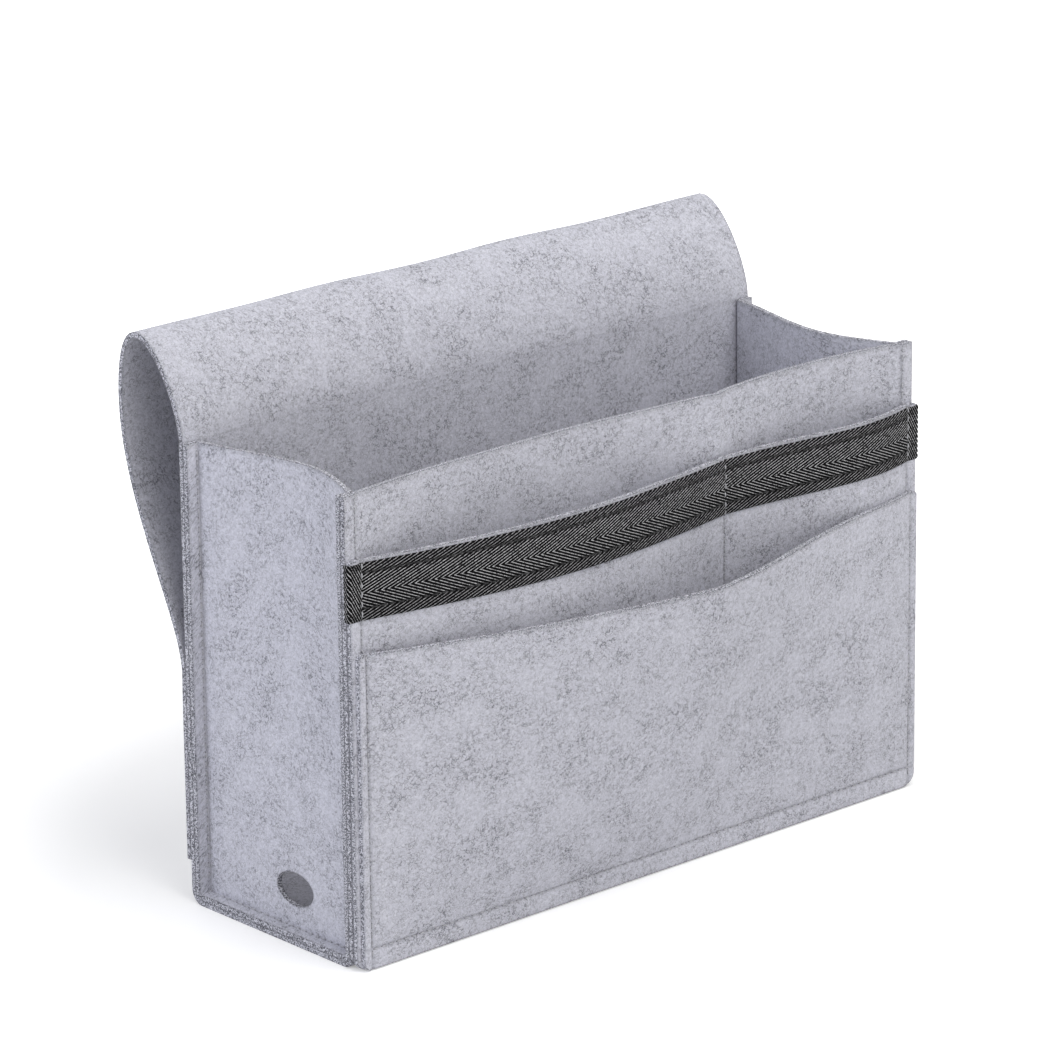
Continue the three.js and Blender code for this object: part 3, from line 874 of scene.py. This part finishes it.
def tape_path():
    """The tape's line from above, as x and depth behind the pocket's middle surface, and its lengths."""
    reach = EDGE_X + CLEARANCE + TAPE / 2
    off = FELT / 2 + SWELL + TAPE / 2
    angles = np.radians(run(0, 90, BEND_STEP))
    end_y = np.linspace(TAPE_BEND - off, FELT / 2, END_STEPS + 1)[1:]
    ends = np.concatenate([
        np.column_stack([
            reach - TAPE_BEND + TAPE_BEND * np.sin(angles),
            -off + TAPE_BEND * (1 - np.cos(angles)),
        ]),
        np.column_stack([np.full(END_STEPS, reach), end_y]),
    ])
    middle = run(TAPE_BEND - reach, reach - TAPE_BEND, TAPE_STEP)[1:-1]
    face = np.column_stack([middle, np.full(len(middle), -off)])
    path = np.concatenate([ends[::-1] * [-1, 1], face, ends])
    return path, lengths_along(path)


def row_dip(distance):
    """How far a stitch row pulls the tape down at a distance from it, 0 to 1."""
    return np.exp(-((distance / ROW_REACH) ** 2))


def pocket_tape():
    """The tape with its woven ribs and pulled-down stitch rows, and its length."""
    path, along = tape_path()
    zs = joined(CUTS, run(CUTS[-1], TAPE_WIDTH - CUTS[-1], YARN_STEP), TAPE_WIDTH - CUTS)
    u, v = np.meshgrid(along - along[-1] / 2, zs)
    x, off = (np.repeat(path[:, k][None], len(zs), axis=0) for k in (0, 1))
    z = TAPE_TOP - TAPE_WIDTH + v
    y = DEVICE_Y + off - device_bulge(x, z)
    rim = np.minimum(v, TAPE_WIDTH - v)
    ribs = RIB_HEIGHT * np.cos(2 * np.pi * rib_phase(u, v)) * share(rim, 0, RIB_FADE)
    rows = sum(row_dip(v - row * TAPE_WIDTH) for row in TAPE_ROWS) * (np.abs(x) < STITCH_X)
    sewn = row_dip(np.abs(x) - STITCH_X) + row_dip(x - DIVIDER)
    edge = TAPE_EDGE * (1 - share(rim, 0, CUTS[-1]))
    front = TAPE / 2 - edge + ribs - ROW_PRESS * np.minimum(rows + sewn, 1)
    verts, faces, depth, _ = closed_sheet(listed(x, y, z), grid_quads(*x.shape), front.ravel(),
                                          np.full(u.size, TAPE / 2), listed(u, v))
    skins["woven_tape"] = (verts, faces)
    return mesh_object("woven_tape", verts, faces, herringbone, depth), along[-1]


# Stitches

THREAD = 0.27 * MM  # radius of a stitch's thread
STITCH_PITCH = 3.9 * MM
STITCH_LENGTH = 2.7 * MM
STITCH_ARCH = 0.42 * MM  # how far the middle of a stitch rises above its ends
STITCH_SINK = 0.08 * MM  # how far its ends go down into the felt
STITCH_CLOSE = 0.97  # how nearly the thread narrows to nothing at its ends
STITCH_BLUNT = 6  # power: how late it narrows
STITCH_JITTER = 0.12 * MM  # unevenness of the pitch
STITCH_SLANT = 0.06  # unevenness of the direction
STITCH_STATIONS = 7
STITCH_SIDES = 6
FLOOR_GAP = 0.05 * MM  # least height of a stitch under the base
SPOT_STEP = 1 * MM  # between the places where a seam is seated


def gathered(meshes):
    """Several meshes as one: their points, and their faces renumbered."""
    counts = np.cumsum([0] + [len(points) for points, _ in meshes])
    faces = [quads + count for (_, quads), count in zip(meshes, counts)]
    return np.concatenate([points for points, _ in meshes]), np.concatenate(faces)


def skin_tree(*names):
    """The skins of some panels, for rays to be cast at."""
    points, faces = gathered([skins[name] for name in names])
    return BVHTree.FromPolygons(points.tolist(), faces.tolist())


def seat(tree, start, stop, direction):
    """Where rays from the places between two meet the felt, and the normals there."""
    start, stop, way = np.array(start), np.array(stop), Vector(direction)
    count = int(np.linalg.norm(stop - start) / SPOT_STEP) + 1
    places, normals = [], []
    for spot in start + (stop - start) * np.linspace(0, 1, count)[:, None]:
        place, normal, _, _ = tree.ray_cast(Vector(spot), way)
        if place:
            places.append(place)
            normals.append(normal if normal.dot(way) < 0 else -normal)
    return np.array(places), np.array(normals)


def stitch_faces():
    """The faces of one stitch: a tube, closed at both ends."""
    ring = np.arange(STITCH_SIDES)
    ahead = (ring + 1) % STITCH_SIDES
    last = (STITCH_STATIONS - 1) * STITCH_SIDES
    tube = [
        np.stack([k + ring, k + ahead, k + STITCH_SIDES + ahead, k + STITCH_SIDES + ring], axis=1)
        for k in range(0, last, STITCH_SIDES)
    ]
    cap = np.array([[0, 1, 2, 3], [0, 3, 4, 5]])
    return np.concatenate([*tube, cap[:, ::-1], cap + last])


def stitches(places, normals, seed):
    """Short arched threads along a line on the felt: their points, faces and nearness to their ends, which
    sets the painted shade there.
    """
    gone = lengths_along(places)

    def at(values, s):
        return np.column_stack([np.interp(s, gone, values[:, k]) for k in range(3)])

    rng = np.random.default_rng(seed)
    middles = np.arange(STITCH_PITCH / 2, gone[-1], STITCH_PITCH)
    middles = middles + rng.uniform(-STITCH_JITTER, STITCH_JITTER, len(middles))
    way = unit(at(places, middles + STITCH_LENGTH / 2) - at(places, middles - STITCH_LENGTH / 2))
    out = at(normals, middles)
    out = unit(out - way * np.sum(out * way, axis=1, keepdims=True))
    side = np.cross(way, out)
    way = unit(way + side * rng.uniform(-STITCH_SLANT, STITCH_SLANT, (len(middles), 1)))
    u = np.linspace(-1, 1, STITCH_STATIONS)
    angle = np.arange(STITCH_SIDES) * 2 * np.pi / STITCH_SIDES
    thick = THREAD * np.sqrt(1 - (STITCH_CLOSE * u) ** STITCH_BLUNT)[:, None]
    lift = (STITCH_ARCH * (1 - u**2) - STITCH_SINK)[:, None] + thick * np.cos(angle)
    spread = thick * np.sin(angle)
    ahead = np.repeat((u * STITCH_LENGTH / 2)[:, None], STITCH_SIDES, axis=1)
    axes = [axis[:, None, None, :] for axis in (way, out, side)]
    points = sum(axis * amount[None, :, :, None] for axis, amount in zip(axes, (ahead, lift, spread)))
    points = (points + at(places, middles)[:, None, None, :]).reshape(-1, 3)
    points[:, 2] = np.maximum(points[:, 2], FLOOR_GAP)
    firsts = np.arange(len(middles)) * STITCH_STATIONS * STITCH_SIDES
    faces = stitch_faces()[None] + firsts[:, None, None]
    # nearness to a stitch's ends: the mask of the painted shade there
    sunk = np.tile(np.repeat(np.abs(u), STITCH_SIDES), len(middles))
    return points, faces.reshape(-1, 4), sunk


def thread_object(name, rows, material):
    """The stitches of several seams as one piece."""
    meshes, ends = [], []
    for seed, row in enumerate(rows):
        points, faces, sunk = stitches(*seat(*row), seed)
        meshes.append((points, faces))
        ends.append(sunk)
    return mesh_object(name, *gathered(meshes), material, sunk=np.concatenate(ends))


body, body_length = body_strip()
flap, flap_length = mattress_flap(body_length)
left_gusset = gusset("felt_left_gusset", patch=1.0, mirrored=False)
right_gusset = gusset("felt_right_gusset", patch=2.0, mirrored=True)
device = pocket("felt_device_pocket", DEVICE_Y, device_top, device_bulge, patch=3.0, seed=11, divided=True)
front = pocket("felt_front_pocket", POCKET_Y, pocket_top, pocket_bulge, patch=4.0, seed=12, divided=False,
               trim=TRIM)
tape, tape_length = pocket_tape()

# The seams: what each is seated on, where it starts and ends, and the way it is seated
AHEAD = -0.15  # where rays for seams start from, in front of the caddy or below it
BEHIND = 0.15  # and behind it
ABOVE = 30 * MM  # and inside, above the base
BACKWARDS = (0, 1, 0)
FORWARDS = (0, -1, 0)
UPWARDS = (0, 0, 1)
DOWNWARDS = (0, 0, -1)
FACE_FOOT = 5 * MM  # lowest stitch on the front
SEAM_FOOT = 10 * MM  # lowest stitch on the back and in the gussets
SEAM_TOP = HEIGHT - 2 * MM
DIVIDER_TOP = DEVICE_TOP - 2 * MM
SEAM_FRONT = FRONT_Y + 9 * MM  # first and last stitch under the base
SEAM_BACK = BACK_Y - 9 * MM
GUSSET_SIDE = 0.6 * MM  # how far outside its line a seam shows on a gusset
face = skin_tree("felt_front_pocket", "felt_device_pocket", "woven_tape", "felt_body")
upper_face = skin_tree("felt_device_pocket", "woven_tape")
only_tape = skin_tree("woven_tape")
only_body = skin_tree("felt_body")
seam_rows = []
for x, name in ((-STITCH_X, "felt_left_gusset"), (STITCH_X, "felt_right_gusset")):
    end = skin_tree(name)
    out = x + math.copysign(GUSSET_SIDE, x)
    seam_rows += [
        (face, (x, AHEAD, FACE_FOOT), (x, AHEAD, SEAM_TOP), BACKWARDS),
        (only_body, (x, SEAM_FRONT, AHEAD), (x, SEAM_BACK, AHEAD), UPWARDS),
        (only_body, (x, BEHIND, SEAM_FOOT), (x, BEHIND, SEAM_TOP), FORWARDS),
        (end, (out, 0, SEAM_FOOT), (out, 0, SEAM_TOP), BACKWARDS),
        (end, (out, 0, SEAM_FOOT), (out, 0, SEAM_TOP), FORWARDS),
        (end, (out, SEAM_FRONT, ABOVE), (out, SEAM_BACK, ABOVE), DOWNWARDS),
    ]
seam_rows += [
    (face, (-STITCH_X, AHEAD, POCKET_STITCH), (STITCH_X, AHEAD, POCKET_STITCH), BACKWARDS),
    (upper_face, (DIVIDER, AHEAD, POCKET_STITCH), (DIVIDER, AHEAD, DIVIDER_TOP), BACKWARDS),
    (only_body, (DIVIDER, 0, POCKET_STITCH), (DIVIDER, 0, DIVIDER_TOP), FORWARDS),
]
seams = thread_object("seam_threads", seam_rows, pale_thread)
tape_rows = []
for row in TAPE_ROWS:
    row_z = TAPE_TOP - TAPE_WIDTH + row * TAPE_WIDTH
    tape_rows.append((only_tape, (-STITCH_X, AHEAD, row_z), (STITCH_X, AHEAD, row_z), BACKWARDS))
tape_threads = thread_object("tape_threads", tape_rows, dark_thread)

# The pieces that ride on the caddy, the flap fixed where it is, and the solids that the felt pieces
# replace, hidden
for obj in (body, left_gusset, right_gusset, device, front, tape, seams, tape_threads):
    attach(obj, "caddy")
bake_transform(flap)
for obj, node in ((body, "body_strip"), (flap, "mattress_flap"), (left_gusset, "left_gusset"),
                  (right_gusset, "right_gusset"), (device, "device_pocket"), (front, "front_pocket"),
                  (tape, "pocket_tape")):
    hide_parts(node)


# Floor, light and camera

def seen(tree):
    """1 for rays from the camera, mirrors and glass included, and 0 for the others."""
    path = put(tree, "ShaderNodeLightPath", {}).outputs
    straight_on = math_node(tree, "MAXIMUM", path["Is Camera Ray"], path["Is Glossy Ray"])
    return math_node(tree, "MAXIMUM", straight_on, path["Is Transmission Ray"])


FLOOR_REACH = 30  # metres from the middle to the floor's sides
FLOOR_GREYS = (0.80, 0.82)  # tones of the floor's faint mottle
GLOW = 0.33  # what the floor by the caddy and the surroundings add, where 1 is white
GLOW_RAMP = (0.2, 0.5)  # metres from the middle over which the floor turns white


def floor_object():
    """A matt floor that takes the caddy's shadow and turns white further off."""
    material = bpy.data.materials.new("studio_floor")
    tree = empty_tree(material)
    place = put(tree, "ShaderNodeTexCoord", {}).outputs["Object"]
    tone = mix(tree, noise(tree, place, 3.0), *([grey] * 3 for grey in FLOOR_GREYS))
    matt = put(tree, "ShaderNodeBsdfDiffuse", {"Color": tone}).outputs[0]
    away = put(tree, "ShaderNodeVectorMath", {0: place}, operation="LENGTH").outputs["Value"]
    strength = product(tree, seen(tree), span(tree, away, *GLOW_RAMP, GLOW, 1.0))
    glow = put(tree, "ShaderNodeEmission", {"Strength": strength}).outputs[0]
    both = put(tree, "ShaderNodeAddShader", {0: matt, 1: glow}).outputs[0]
    put(tree, "ShaderNodeOutputMaterial", {"Surface": both})
    corners = np.array([(-1, -1, 0), (1, -1, 0), (1, 1, 0), (-1, 1, 0)]) * FLOOR_REACH
    return mesh_object("floor", corners, np.array([(0, 1, 2, 3)]), material)


LIT_PLACE = Vector((0, 0, 0.1))  # where the lights point


def area_light(name, place, size, power, colour=(1, 1, 1)):
    """A round light, its place and size in metres and its power in watts."""
    light = bpy.data.lights.new(name, "AREA")
    light.shape = "DISK"
    light.size = size
    light.energy = power
    light.color = colour
    obj = placed(name, light)
    obj.location = place
    obj.rotation_euler = (LIT_PLACE - Vector(place)).to_track_quat("-Z", "Y").to_euler()


def studio_world():
    """White surroundings, dimmer as a light than as they are seen."""
    world = bpy.data.worlds.new("studio")
    bpy.context.scene.world = world
    tree = empty_tree(world)
    strength = span(tree, seen(tree), 0.0, 1.0, GLOW, 1.0)
    sky = put(tree, "ShaderNodeBackground", {"Color": (1, 1, 1, 1), "Strength": strength})
    put(tree, "ShaderNodeOutputWorld", {"Surface": sky.outputs[0]})


def photo_camera():
    """The photograph's camera, from a fit to the corners of the body."""
    place = Vector((-1.47341, -1.63277, 0.84324))
    right = Vector((0.743844, -0.668261, -0.011122))
    up = Vector((0.212555, 0.220761, 0.951906))
    back = Vector((-0.633664, -0.710427, 0.306254))
    data = bpy.data.cameras.new("camera")
    data.lens = 196.6
    data.sensor_width = 36
    obj = placed("camera", data)
    obj.matrix_world = Matrix.Translation(place) @ Matrix((right, up, back)).transposed().to_4x4()
    bpy.context.scene.camera = obj


floor_object()
area_light("left", place=(-2.2, 0.5, 1.0), size=1.5, power=23, colour=(0.86, 0.89, 1.0))
area_light("front", place=(-0.5, -2.2, 0.9), size=1.6, power=10)
area_light("top", place=(0.1, -0.6, 1.42), size=1.2, power=14)
area_light("back", place=(0.9, 2.4, 1.2), size=1.6, power=11)
studio_world()
photo_camera()
bpy.context.scene.view_settings.view_transform = "Standard"
